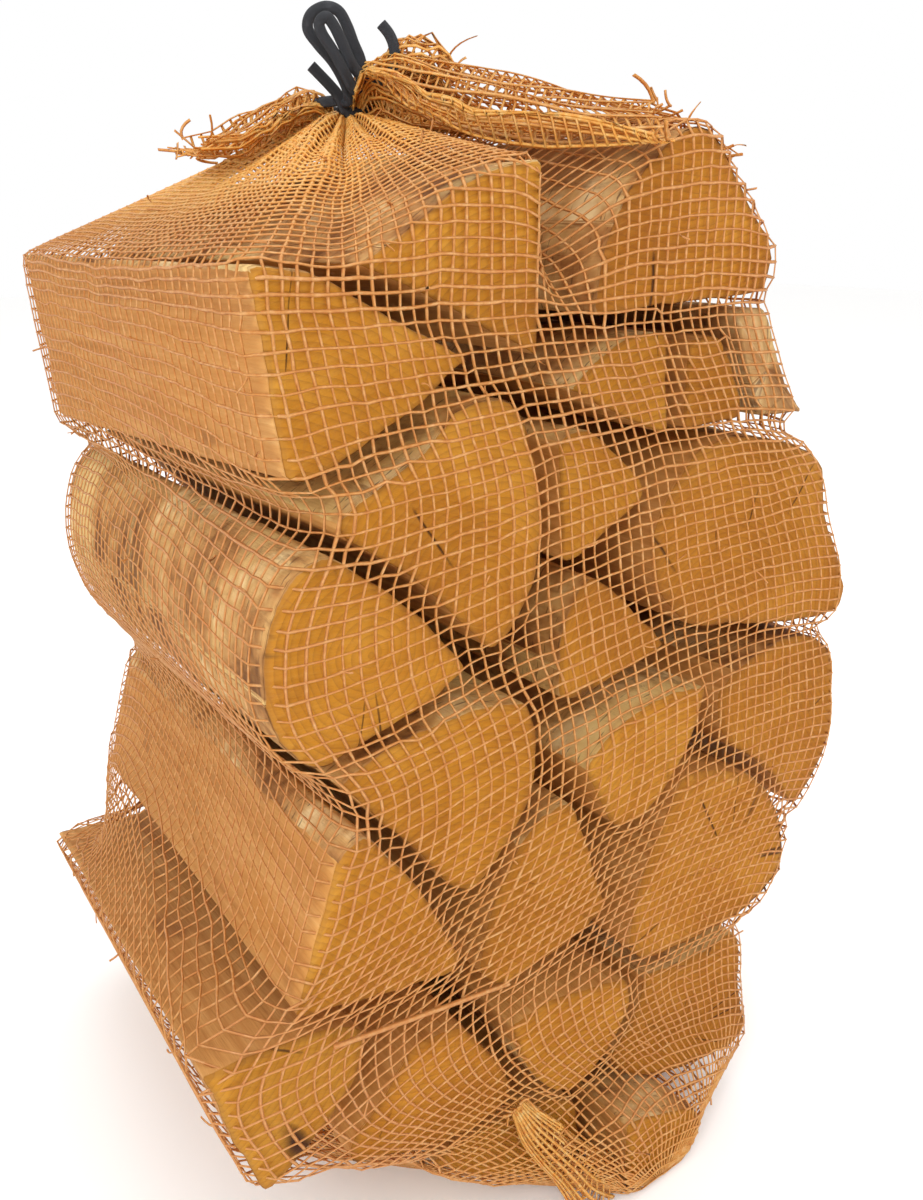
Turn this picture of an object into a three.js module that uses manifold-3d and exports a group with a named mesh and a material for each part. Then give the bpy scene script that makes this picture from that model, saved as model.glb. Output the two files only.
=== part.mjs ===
// Net sack of split firewood: a pile of short split logs lying front to back,
// wrapped in a thin net sack whose mouth is gathered on top and tied with a black cord.
// Millimetres, +Z up. X runs across the log ends, Y along the logs, ends face -Y.

import * as THREE from 'three';
import { mergeVertices } from 'three/addons/utils/BufferGeometryUtils.js';
import Module from 'manifold-3d';

const wasm = await Module();
wasm.setup();

// ---- Driving dimensions -------------------------------------------------
const LOG_LENGTH = 250;
const CORNER_CUT = 2.2; // broken corner on a split arris
const END_CUT = 1.2; // broken edge round a sawn end
const ARC_STEPS = 2; // points added between two neighbours on a bark arc

// The pile narrows slightly to the back, and its left side sags to the back.
const BACK_SCALE_X = 0.88;
const BACK_SHIFT_X = 24;
const SAG_REACH_X = 120; // the sag fades out at this X
// [height, drop] of the logs above the big gap on the left, and of those below it
const SAG_HIGH = [[0, 31], [143, 31], [190, 27], [215, 27], [235, 17], [282, 12], [300, 19], [365, 0]];
const SAG_LOW = [[0, 0], [10, 0], [91, 32], [143, 55]];

const NET_CLEARANCE = 3; // gap from the logs to the inside of the net wall
const NET_WALL = 1.2;
const NET_SIDE_STEPS = 8; // net points along each of the four sides
const NET_LEVELS = [0, 8, 30, 55, 80, 105, 130, 155, 180, 205, 230, 255, 280, 305, 330, 352, 370, 384, 395.5];
const EDGE_SAMPLES = 6; // points taken along each log edge to find the pile's outline
const NET_BRIDGE_PASSES = 4; // how far the net spans straight over hollows
const ROOF_START = 330; // from here to ROOF_END the wall thickness turns upright
const ROOF_END = 370;

const NECK = [88, 125]; // where the mouth is gathered
const NECK_RADIUS = 9;
const NECK_RINGS = [[399.5, 9], [406, 9], [411, 10.5], [416, 12]]; // [height, radius]

const CORD_RADIUS = 2;
const CORD_HEIGHT = 403;
const CORD_GAP = 0.5;
const KNOT_RADIUS = 4.2;
const KNOT_OUT = 3.5; // knot centre, out from the band's centre line
const MERGE_DISTANCE = 1e-3; // vertices nearer than this are one

const WOOD = 0xc8924c;
const NET_ORANGE = 0xe0903c;
const CORD_BLACK = 0x23262a;

// ---- Logs ---------------------------------------------------------------
// bark: points [x, z] of the rounded bark side of the front end, in order.
// split: corners [x, z] of the flat split faces, carrying on in the same order.
// sag: the drop it takes to the back. skew: how far its back end stands off along x.
const LOGS = [
  { name: 'log_top_left', front: 0, back: 250, skew: -7,
    bark: [[-16, 356], [2, 354], [20, 345], [52, 329]],
    split: [[40, 320], [18, 308], [0, 300], [-8, 301]] },
  { name: 'log_top_middle', front: 1, back: 247,
    bark: [[14, 354], [30, 363], [40, 370], [52, 376], [65, 380], [77, 382]],
    split: [[77, 326], [46, 341], [28, 349]] },
  { name: 'log_top_right', front: -1, back: 252,
    bark: [[95, 337.5], [97, 355], [105, 372], [117, 383], [130, 392], [142, 392], [153, 380],
      [166, 367], [177, 354], [173, 342]],
    split: [] },
  { name: 'log_small_wedge', front: 2, back: 244,
    bark: [[88, 317], [98, 325], [110, 331], [121, 333], [131, 333]],
    split: [[133, 310], [134, 298], [118, 303], [104, 309]] },
  { name: 'log_small_block', front: 1, back: 249,
    bark: [[168, 300], [138, 299]],
    split: [[139, 330], [154, 331], [162, 320], [169, 307]] },
  { name: 'log_bark_slab', front: 1, back: 241,
    bark: [[160, 338], [175, 338.5], [182, 327], [191, 312], [204, 299]],
    split: [[177, 300], [173, 309], [166, 323]] },
  { name: 'log_centre_round', front: -1, back: 251,
    bark: [[6, 290], [12, 294], [22, 299], [35, 307], [45, 316], [55, 319], [65, 317], [72, 308]],
    split: [[77, 295], [79, 275], [76, 260], [69, 247], [59, 240], [50, 248], [30, 269], [8, 284]] },
  { name: 'log_centre_sliver', front: 3, back: 246,
    bark: [[86, 304], [99, 305], [111, 296], [124, 286]],
    split: [[127, 279], [117, 273], [95, 261], [88, 262]] },
  { name: 'log_right_big', front: 0, back: 250,
    bark: [[163, 297], [186, 293], [207, 286], [219, 277], [222, 261], [232, 245], [242, 225],
      [240, 216]],
    split: [[226, 215], [200, 218], [172, 223], [150, 227], [140, 234], [129, 248], [126, 266],
      [134, 281], [146, 294]] },
  { name: 'log_centre_block', front: 2, back: 248,
    bark: [[88, 215], [88, 236], [92, 247], [99, 256]],
    split: [[105, 256], [115, 249], [125, 239], [135, 230], [141, 223], [125, 218], [98, 213]] },
  { name: 'log_left_bark', front: 0, back: 250,
    bark: [[12, 276], [3, 282], [-8, 277], [-15, 265], [-18, 250], [-16, 235], [-8, 222], [0, 218]],
    split: [[20, 224], [38, 229], [52, 236], [44, 247], [34, 258], [22, 269]] },
  { name: 'log_middle_left', front: -1, back: 246,
    bark: [[2, 213], [12, 218], [28, 222], [52, 225], [74, 221]],
    split: [[79, 207], [79, 193], [73, 178], [64, 167], [52, 157], [42, 163], [30, 180], [17, 195]] },
  { name: 'log_leaf_wedge', front: -2, back: 243,
    bark: [[97, 189], [108, 198], [122, 204], [142, 207], [160, 204]],
    split: [[156, 190], [149, 177], [140, 166], [128, 158], [114, 159], [107, 170]] },
  { name: 'log_right_middle', front: 1, back: 251,
    bark: [[180, 206], [204, 212], [226, 208], [239, 198], [243, 183], [246, 167], [244, 153],
      [236, 139], [226, 129]],
    split: [[218, 135], [207, 149], [193, 162], [178, 171], [170, 183], [167, 198]] },
  { name: 'log_right_low', front: -2, back: 249,
    bark: [[188, 160], [201, 148], [211, 134], [216, 120], [217, 106], [206, 96], [188, 90]],
    split: [[160, 90], [134, 93], [124, 103], [126, 120], [133, 140], [141, 157], [150, 171],
      [166, 168]] },
  { name: 'log_middle_low', front: -1, back: 248,
    bark: [[72, 170], [82, 177], [93, 178], [98, 172]],
    split: [[104, 157], [109, 141], [115, 127], [104, 120], [84, 117], [64, 114], [54, 124],
      [56, 140], [62, 156]] },
  { name: 'log_left_split', front: -1, back: 250, skew: 3,
    bark: [[2, 191], [11, 195], [20, 185], [31, 170], [40, 152], [48, 135]],
    split: [[44, 129], [24, 132], [4, 135], [-16, 140]] },
  { name: 'log_left_skewed', front: 0, back: 246, sag: SAG_LOW,
    bark: [[-46, 137], [-37, 106], [-28, 80]],
    split: [[-18, 85], [-5, 95], [8, 108], [12, 122], [4, 130], [-18, 135]] },
  { name: 'log_low_left', front: 0, back: 244, sag: SAG_LOW,
    bark: [[66, 59], [50, 58], [34, 60], [18, 66], [2, 73]],
    split: [[2, 82], [14, 92], [28, 109], [48, 107], [57, 95], [65, 83], [72, 68]] },
  { name: 'log_low_round', front: -3, back: 247, sag: SAG_LOW,
    bark: [[129, 80], [122, 67], [108, 55], [97, 52], [84, 61], [76, 73], [70, 85]],
    split: [[66, 99], [84, 101], [106, 97], [126, 92]] },
  { name: 'log_low_right', front: 0, back: 250, sag: SAG_LOW,
    bark: [[136, 86], [152, 83], [172, 81], [188, 84], [196, 75], [198, 57], [202, 39], [207, 27]],
    split: [[200, 17], [180, 20], [160, 24], [142, 31], [126, 41], [119, 53], [131, 66], [136, 78]] },
  { name: 'log_base_slab', front: -18, back: 240, sag: SAG_LOW,
    bark: [[113, 38], [122, 37], [134, 33], [146, 28], [156, 22]],
    split: [[155, 12], [148, 3], [122, 2], [114, 7]] },
  { name: 'log_base_round', front: 2, back: 246, sag: SAG_LOW,
    bark: [[34, 52], [48, 38], [64, 26], [80, 16], [96, 6]],
    split: [[106, 2], [110, 20], [106, 40], [92, 49], [70, 53], [50, 54]] },
  { name: 'log_base_hidden', front: 80, back: 248, sag: SAG_LOW,
    bark: [[2, 40], [6, 58], [26, 50], [38, 40], [54, 27], [72, 15], [84, 6]],
    split: [[80, 2], [12, 2], [4, 20]] },
];

// Height a point drops by at the back of the pile.
function sagAt(profile, z) {
  for (let i = 1; i < profile.length; i++) {
    const [z0, d0] = profile[i - 1];
    const [z1, d1] = profile[i];
    if (z <= z1) return d0 + (d1 - d0) * (z - z0) / (z1 - z0);
  }
  return profile[profile.length - 1][1];
}

// Where the front-plane point (x, z) of a log lies at depth y.
function settle(log, x, z, y) {
  const depth = y / LOG_LENGTH;
  const fade = THREE.MathUtils.clamp(1 - x / SAG_REACH_X, 0, 1);
  const backX = BACK_SCALE_X * x + BACK_SHIFT_X + (log.skew ?? 0);
  const backZ = z - fade * sagAt(log.sag ?? SAG_HIGH, z);
  return [x + (backX - x) * depth, z + (backZ - z) * depth];
}

// Bark arc as a smooth run of points.
function barkArc(points) {
  if (points.length < 3) return points;
  const curve = new THREE.CatmullRomCurve3(points.map(([x, z]) => new THREE.Vector3(x, z, 0)));
  return curve.getPoints((points.length - 1) * ARC_STEPS).map((p) => [p.x, p.y]);
}

// A corner replaced by two points, one along each edge.
function cutCorner(before, corner, after) {
  const step = (to) => {
    const dx = to[0] - corner[0];
    const dz = to[1] - corner[1];
    const k = Math.min(0.3, CORNER_CUT / Math.hypot(dx, dz));
    return [corner[0] + dx * k, corner[1] + dz * k];
  };
  return [step(before), step(after)];
}

// Full front outline of a log, anticlockwise seen from the front.
function outlineOf(log) {
  const arc = barkArc(log.bark);
  const all = arc.concat(log.split);
  const points = [];
  all.forEach((p, i) => {
    const inArc = i > 0 && i < arc.length - 1;
    const before = all[(i + all.length - 1) % all.length];
    const after = all[(i + 1) % all.length];
    points.push(...(inArc ? [p] : cutCorner(before, p, after)));
  });
  const outline = points.map(([x, z]) => new THREE.Vector2(x, z));
  return THREE.ShapeUtils.area(outline) > 0 ? outline : outline.reverse();
}

// Ring of a log's outline at depth y, drawn in toward its middle by inset millimetres.
function ringAt(log, outline, y, inset) {
  const ring = outline.map((p) => settle(log, p.x, p.y, y));
  const cx = ring.reduce((s, p) => s + p[0], 0) / ring.length;
  const cz = ring.reduce((s, p) => s + p[1], 0) / ring.length;
  return ring.map(([x, z]) => {
    const k = 1 - inset / Math.hypot(x - cx, z - cz);
    return [cx + (x - cx) * k, y, cz + (z - cz) * k];
  });
}

// Closed solid skinned over rings of equal length, with flat caps on both ends.
function skin(rings, capTriangles) {
  const n = rings[0].length;
  const last = (rings.length - 1) * n;
  const index = [];
  for (let r = 0; r + 1 < rings.length; r++) {
    for (let i = 0; i < n; i++) {
      const a = r * n + i;
      const b = r * n + (i + 1) % n;
      index.push(a, b, b + n, a, b + n, a + n);
    }
  }
  for (const [a, b, c] of capTriangles) {
    index.push(a, c, b);
    index.push(last + a, last + b, last + c);
  }
  return geometryFrom(rings.flat(), index);
}

// Flat-shaded geometry whose faces point out, from shared vertices and an index.
function geometryFrom(vertices, index) {
  const shared = new THREE.BufferGeometry();
  shared.setAttribute('position', new THREE.Float32BufferAttribute(vertices.flat(), 3));
  shared.setIndex(signedVolume(vertices, index) > 0 ? index : index.slice().reverse());
  const flat = shared.toNonIndexed();
  flat.computeVertexNormals();
  return flat;
}

function signedVolume(vertices, index) {
  let sum = 0;
  for (let i = 0; i < index.length; i += 3) {
    const [a, b, c] = [0, 1, 2].map((k) => new THREE.Vector3(...vertices[index[i + k]]));
    sum += a.dot(b.cross(c));
  }
  return sum / 6;
}

// One split log: sawn ends, bark arc and split faces, with its edges broken.
function logGeometry(log) {
  const outline = outlineOf(log);
  const { front, back } = log;
  const rings = [
    ringAt(log, outline, front, END_CUT),
    ringAt(log, outline, front + END_CUT, 0),
    ringAt(log, outline, back - END_CUT, 0),
    ringAt(log, outline, back, END_CUT),
  ];
  return skin(rings, THREE.ShapeUtils.triangulateShape(outline, []));
}

// ---- Net sack -----------------------------------------------------------
// Points spread along every edge of the logs.
function pilePoints(geometries) {
  const points = [];
  for (const geometry of geometries) {
    const pos = geometry.attributes.position;
    for (let i = 0; i < pos.count; i += 3) {
      for (let k = 0; k < 3; k++) {
        const a = new THREE.Vector3().fromBufferAttribute(pos, i + k);
        const b = new THREE.Vector3().fromBufferAttribute(pos, i + (k + 1) % 3);
        for (let s = 0; s < EDGE_SAMPLES; s++) points.push(a.clone().lerp(b, s / EDGE_SAMPLES));
      }
    }
  }
  return points;
}

// Convex hull of plan points [x, y], anticlockwise.
function hull(points) {
  const sorted = points.slice().sort((p, q) => p[0] - q[0] || p[1] - q[1]);
  const turn = (o, a, b) => (a[0] - o[0]) * (b[1] - o[1]) - (a[1] - o[1]) * (b[0] - o[0]);
  const half = (list) => {
    const out = [];
    for (const p of list) {
      while (out.length > 1 && turn(out[out.length - 2], out[out.length - 1], p) <= 0) out.pop();
      out.push(p);
    }
    out.pop();
    return out;
  };
  return half(sorted).concat(half(sorted.reverse()));
}

// Sharpness of the turn at point i of a convex outline.
function turnAt(outline, i) {
  const n = outline.length;
  const [a, b, c] = [outline[(i + n - 1) % n], outline[i], outline[(i + 1) % n]];
  const inward = Math.atan2(b[1] - a[1], b[0] - a[0]);
  const onward = Math.atan2(c[1] - b[1], c[0] - b[0]);
  return (onward - inward + 4 * Math.PI) % (2 * Math.PI);
}

// Evenly spaced points along one side of an outline, moved onto its sharpest nearby turns.
function sampleSide(outline, from, to) {
  const n = outline.length;
  const count = (to - from + n) % n || n;
  const chain = Array.from({ length: count + 1 }, (_, i) => (from + i) % n);
  const along = [0];
  for (let i = 1; i <= count; i++) {
    const [p, q] = [outline[chain[i - 1]], outline[chain[i]]];
    along.push(along[i - 1] + Math.hypot(q[0] - p[0], q[1] - p[1]));
  }
  const spacing = along[count] / NET_SIDE_STEPS;
  return Array.from({ length: NET_SIDE_STEPS }, (_, k) => {
    if (k === 0) return outline[chain[0]];
    const at = k * spacing;
    let best = -1;
    for (let i = 1; i < count; i++) {
      if (Math.abs(along[i] - at) > spacing / 2) continue;
      if (best < 0 || turnAt(outline, chain[i]) > turnAt(outline, chain[best])) best = i;
    }
    if (best > 0) return outline[chain[best]];
    const i = Math.max(1, along.findIndex((a) => a >= at));
    const t = (at - along[i - 1]) / (along[i] - along[i - 1]);
    const [p, q] = [outline[chain[i - 1]], outline[chain[i]]];
    return [p[0] + (q[0] - p[0]) * t, p[1] + (q[1] - p[1]) * t];
  });
}

// Ring round a convex outline, starting at its front-left corner, four sides of equal count.
function sampleOutline(outline) {
  const corner = (dx, dy) => outline.reduce((best, p, i) => {
    return p[0] * dx + p[1] * dy > outline[best][0] * dx + outline[best][1] * dy ? i : best;
  }, 0);
  const corners = [corner(-1, -1), corner(1, -1), corner(1, 1), corner(-1, 1)];
  return corners.flatMap((from, i) => sampleSide(outline, from, corners[(i + 1) % 4]));
}

// Closed convex ring pushed outward by distance.
function grow(ring, distance) {
  const n = ring.length;
  const normal = (a, b) => {
    const length = Math.hypot(b[0] - a[0], b[1] - a[1]) || 1;
    return [(b[1] - a[1]) / length, (a[0] - b[0]) / length];
  };
  return ring.map((p, i) => {
    const m = normal(ring[(i + n - 1) % n], p);
    const o = normal(p, ring[(i + 1) % n]);
    const k = distance / Math.max(0.5, 1 + m[0] * o[0] + m[1] * o[1]);
    return [p[0] + (m[0] + o[0]) * k, p[1] + (m[1] + o[1]) * k];
  });
}

// Ring point i moved out to the other point's line, square to its side of the ring.
function outermost(p, other, i) {
  const side = Math.floor(i / NET_SIDE_STEPS);
  const onCorner = i % NET_SIDE_STEPS === 0;
  const low = Math.min;
  const high = Math.max;
  // Outward pick along x and y for the front, right, back and left sides.
  const pickX = [null, high, null, low];
  const pickY = [low, null, high, null];
  const before = (side + 3) % 4;
  const useX = pickX[side] ?? (onCorner ? pickX[before] : null);
  const useY = pickY[side] ?? (onCorner ? pickY[before] : null);
  return [useX ? useX(p[0], other[0]) : p[0], useY ? useY(p[1], other[1]) : p[1]];
}

// Plan ring of the pile at every net level, bridged straight over hollows.
function pileRings(points) {
  const neck = Array.from({ length: 12 }, (_, i) => {
    const a = i / 12 * 2 * Math.PI;
    return [NECK[0] + NECK_RADIUS * Math.cos(a), NECK[1] + NECK_RADIUS * Math.sin(a)];
  });
  const rings = NET_LEVELS.map((z, k) => {
    const low = (k > 0 ? NET_LEVELS[k - 1] : z) - 1;
    const high = (k + 1 < NET_LEVELS.length ? NET_LEVELS[k + 1] : z) + 1;
    const near = points.filter((p) => p.z >= low && p.z <= high).map((p) => [p.x, p.y]);
    return sampleOutline(hull(near.concat(neck)));
  });
  for (let pass = 0; pass < NET_BRIDGE_PASSES; pass++) {
    for (let k = 2; k + 1 < rings.length; k++) {
      const share = (NET_LEVELS[k] - NET_LEVELS[k - 1]) / (NET_LEVELS[k + 1] - NET_LEVELS[k - 1]);
      rings[k] = rings[k].map((p, i) => {
        const [a, b] = [rings[k - 1][i], rings[k + 1][i]];
        return outermost(p, [a[0] + (b[0] - a[0]) * share, a[1] + (b[1] - a[1]) * share], i);
      });
    }
  }
  return rings;
}

// Rings of the sack's outer or inner face; thick is the wall taken off inside.
function netRings(pile, thick) {
  const sides = pile[0].length;
  const rings = pile.map((ring, k) => {
    const z = NET_LEVELS[k];
    const roof = thick * THREE.MathUtils.smoothstep(z, ROOF_START, ROOF_END);
    const height = k === 0 ? z + thick : z - roof;
    return grow(ring, NET_CLEARANCE + NET_WALL - thick).map(([x, y]) => [x, y, height]);
  });
  const neck = NECK_RINGS.map(([z, radius]) => Array.from({ length: sides }, (_, i) => {
    const a = (i / sides * 2 + 1.25) * Math.PI; // starts toward the front-left corner
    const r = radius - thick;
    return [NECK[0] + r * Math.cos(a), NECK[1] + r * Math.sin(a), z];
  }));
  return rings.concat(neck);
}

// Thin-walled sack, closed and flat at the base, open at the gathered mouth.
function netGeometry(geometries) {
  const pile = pileRings(pilePoints(geometries));
  const outer = netRings(pile, 0);
  const inner = netRings(pile, NET_WALL);
  const floor = outer[0].map(([x, y]) => new THREE.Vector2(x, y));
  return skin(outer.concat(inner.reverse()), THREE.ShapeUtils.triangulateShape(floor, []));
}

// ---- Cord ---------------------------------------------------------------
// Tube along a smooth path, closed with flat ends.
function tube(points, radius, steps) {
  const curve = new THREE.CatmullRomCurve3(points.map((p) => new THREE.Vector3(...p)));
  const round = new THREE.Shape().absarc(0, 0, radius, 0, 2 * Math.PI);
  const options = { steps, extrudePath: curve, curveSegments: 4, bevelEnabled: false };
  return new THREE.ExtrudeGeometry(round, options);
}

function solidOf(geometry) {
  const bare = geometry.clone();
  bare.deleteAttribute('normal');
  bare.deleteAttribute('uv');
  const merged = mergeVertices(bare, MERGE_DISTANCE);
  return new wasm.Manifold(new wasm.Mesh({
    numProp: 3,
    vertProperties: new Float32Array(merged.attributes.position.array),
    triVerts: new Uint32Array(merged.index.array),
  }));
}

// Band round the neck, a knot on its front, two bow loops and two loose ends.
function cordGeometry() {
  const bandRadius = NECK_RADIUS + CORD_GAP + CORD_RADIUS;
  const band = new THREE.TorusGeometry(bandRadius, CORD_RADIUS, 8, 32);
  band.translate(NECK[0], NECK[1], CORD_HEIGHT);
  const place = (across, out, up) => {
    const along = new THREE.Vector3(0.804, -0.595, 0);
    const forward = new THREE.Vector3(-0.595, -0.804, 0);
    const p = new THREE.Vector3(NECK[0], NECK[1], CORD_HEIGHT);
    p.addScaledVector(along, across).addScaledVector(forward, bandRadius + KNOT_OUT + out);
    return [p.x, p.y, p.z + up];
  };
  const knot = new THREE.SphereGeometry(KNOT_RADIUS, 12, 8);
  knot.translate(...place(0, 0, 1));
  const pieces = [
    tube([place(-1, 0, 1), place(-7, 2, 16), place(-9, 3, 30), place(-5, 3, 36), place(1, 2, 30),
      place(3, 1, 14), place(1, 0, 1)], CORD_RADIUS, 22),
    tube([place(0, 1, 1), place(-2, 6, 13), place(-1, 8, 24), place(4, 8, 27), place(8, 6, 18),
      place(6, 3, 8), place(1, 0, 1)], CORD_RADIUS, 22),
    tube([place(0, 0, 1), place(-7, 1, 8), place(-13, 2, 17)], CORD_RADIUS, 6),
    tube([place(0, 0, 1), place(9, 0, 8), place(14, 0, 18), place(14, 0, 28)], CORD_RADIUS, 8),
  ];
  const tied = solidOf(band).add(solidOf(knot));
  const whole = pieces.reduce((sum, piece) => sum.add(solidOf(piece)), tied);
  const mesh = whole.getMesh();
  const geometry = new THREE.BufferGeometry();
  geometry.setAttribute('position', new THREE.BufferAttribute(new Float32Array(mesh.vertProperties), 3));
  geometry.setIndex(Array.from(mesh.triVerts));
  const flat = geometry.toNonIndexed();
  flat.computeVertexNormals();
  return flat;
}

// ---- Assembly -----------------------------------------------------------
function namedMesh(name, geometry, color, roughness) {
  const mesh = new THREE.Mesh(geometry, new THREE.MeshStandardMaterial({ color, roughness, metalness: 0 }));
  mesh.name = name;
  return mesh;
}

// Moves everything so that the box stands on z = 0, centred on the origin.
function centreOnBase(group) {
  const box = new THREE.Box3().setFromObject(group);
  const middle = box.getCenter(new THREE.Vector3());
  group.position.set(-middle.x, -middle.y, -box.min.z);
  group.updateMatrixWorld(true);
}

function buildBundle() {
  const group = new THREE.Group();
  const logs = LOGS.map((log) => logGeometry(log));
  logs.forEach((geometry, i) => group.add(namedMesh(LOGS[i].name, geometry, WOOD, 0.85)));
  group.add(namedMesh('net_sack', netGeometry(logs), NET_ORANGE, 0.6));
  group.add(namedMesh('tie_cord', cordGeometry(), CORD_BLACK, 0.7));
  centreOnBase(group);
  return group;
}

export default buildBundle();
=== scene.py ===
import math
import random

import bpy
import numpy as np
from mathutils import Matrix, Vector
from mathutils.bvhtree import BVHTree


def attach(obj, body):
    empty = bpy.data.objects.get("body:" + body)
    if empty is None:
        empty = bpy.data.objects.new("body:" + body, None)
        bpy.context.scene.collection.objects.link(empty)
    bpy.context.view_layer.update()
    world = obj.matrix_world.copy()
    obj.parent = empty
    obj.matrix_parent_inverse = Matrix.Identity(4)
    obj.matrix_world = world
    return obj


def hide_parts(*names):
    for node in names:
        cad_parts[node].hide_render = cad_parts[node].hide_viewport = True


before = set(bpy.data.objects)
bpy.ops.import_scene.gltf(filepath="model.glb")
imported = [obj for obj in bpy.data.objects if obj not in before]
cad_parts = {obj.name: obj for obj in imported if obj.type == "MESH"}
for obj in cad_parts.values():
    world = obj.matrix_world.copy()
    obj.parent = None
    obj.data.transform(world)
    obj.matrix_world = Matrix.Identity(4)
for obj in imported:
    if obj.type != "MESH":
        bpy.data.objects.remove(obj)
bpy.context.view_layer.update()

SEED = 20
MM = 0.001

# The pile's own front-left reference point, in the row frame, in millimetres.
PILE_X = -99.92
PILE_Y = -117.0
NECK = np.array([88 + PILE_X, 125 + PILE_Y])
NECK_RADIUS = 8.3
NECK_Z = 403.0


# ---- Camera ----
def make_camera():
    yaw, pitch = math.radians(-36.48), math.radians(19.14)
    back = Vector((math.sin(yaw) * math.cos(pitch), -math.cos(yaw) * math.cos(pitch), math.sin(pitch)))
    right = Vector((math.cos(yaw), math.sin(yaw), 0))
    up = back.cross(right)
    data = bpy.data.cameras.new("camera")
    data.sensor_width = 36
    data.lens = 32.25
    data.clip_start, data.clip_end = 0.01, 20
    cam = bpy.data.objects.new("camera", data)
    bpy.context.scene.collection.objects.link(cam)
    place = ((-129.7 + PILE_X) * MM, (-239.4 + PILE_Y) * MM, 363.3 * MM)
    cam.matrix_world = Matrix.Translation(place) @ Matrix((right, up, back)).transposed().to_4x4()
    bpy.context.scene.camera = cam


make_camera()
bpy.context.scene.view_settings.view_transform = "Standard"


# ---- Small numeric helpers ----
def lattice(ix, iy, iz, seed):
    h = (ix * 374761393 + iy * 668265263 + iz * 2147483647 + seed * 974634777) & 0xFFFFFFFF
    h = ((h ^ (h >> 13)) * 1274126177) & 0xFFFFFFFF
    return ((h ^ (h >> 16)) & 0xFFFF) / 65535.0


def noise(p, scale, seed):
    """Smooth value noise from 0 to 1 at the points p, with features scale apart (number or triple)."""
    q = np.asarray(p, float) / np.asarray(scale, float)
    i = np.floor(q).astype(np.int64)
    f = q - i
    f = f * f * (3 - 2 * f)
    total = 0
    for dx in (0, 1):
        for dy in (0, 1):
            for dz in (0, 1):
                w = (np.where(dx, f[..., 0], 1 - f[..., 0]) * np.where(dy, f[..., 1], 1 - f[..., 1])
                     * np.where(dz, f[..., 2], 1 - f[..., 2]))
                total = total + w * lattice(i[..., 0] + dx, i[..., 1] + dy, i[..., 2] + dz, seed)
    return total


def unit(v):
    return v / np.maximum(np.linalg.norm(v, axis=-1, keepdims=True), 1e-9)


def smooth_step(x, low, high):
    t = np.clip((x - low) / (high - low), 0, 1)
    return t * t * (3 - 2 * t)


def run_along(points):
    """Distance along a line of points, at each of them."""
    return np.concatenate([[0], np.cumsum(np.linalg.norm(np.diff(points, axis=0), axis=1))])


def points_at(distances, run, points):
    """Points of a plane line at distances along it."""
    return np.stack([np.interp(distances, run, points[:, k]) for k in (0, 1)], axis=1)


def tube_quads(rows, cols):
    """Faces of a grid of points that closes on itself sideways."""
    here = np.arange(rows - 1)[:, None] * cols
    i = here + np.arange(cols)[None]
    j = here + (np.arange(cols)[None] + 1) % cols
    return np.stack([i, j, j + cols, i + cols], axis=-1).reshape(-1, 4)


def mesh_object(name, verts_mm, faces, material, attributes=None, smooth=True):
    """New object from points in millimetres, faces with one number of corners, and point attributes."""
    mesh = bpy.data.meshes.new(name)
    verts = np.asarray(verts_mm, float).reshape(-1, 3) * MM
    faces = np.asarray(faces)
    mesh.vertices.add(len(verts))
    mesh.vertices.foreach_set("co", verts.ravel())
    mesh.loops.add(faces.size)
    mesh.loops.foreach_set("vertex_index", faces.ravel())
    mesh.polygons.add(len(faces))
    mesh.polygons.foreach_set("loop_start", np.arange(0, faces.size, faces.shape[1]))
    mesh.update(calc_edges=True)
    mesh.validate()
    for key, values in (attributes or {}).items():
        values = np.asarray(values, float)
        kind = "FLOAT_VECTOR" if values.ndim == 2 else "FLOAT"
        layer = mesh.attributes.new(key, kind, "POINT")
        layer.data.foreach_set("vector" if values.ndim == 2 else "value", values.ravel())
    mesh.polygons.foreach_set("use_smooth", np.full(len(mesh.polygons), smooth))
    mesh.materials.append(material)
    obj = bpy.data.objects.new(name, mesh)
    bpy.context.scene.collection.objects.link(obj)
    return obj


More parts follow.
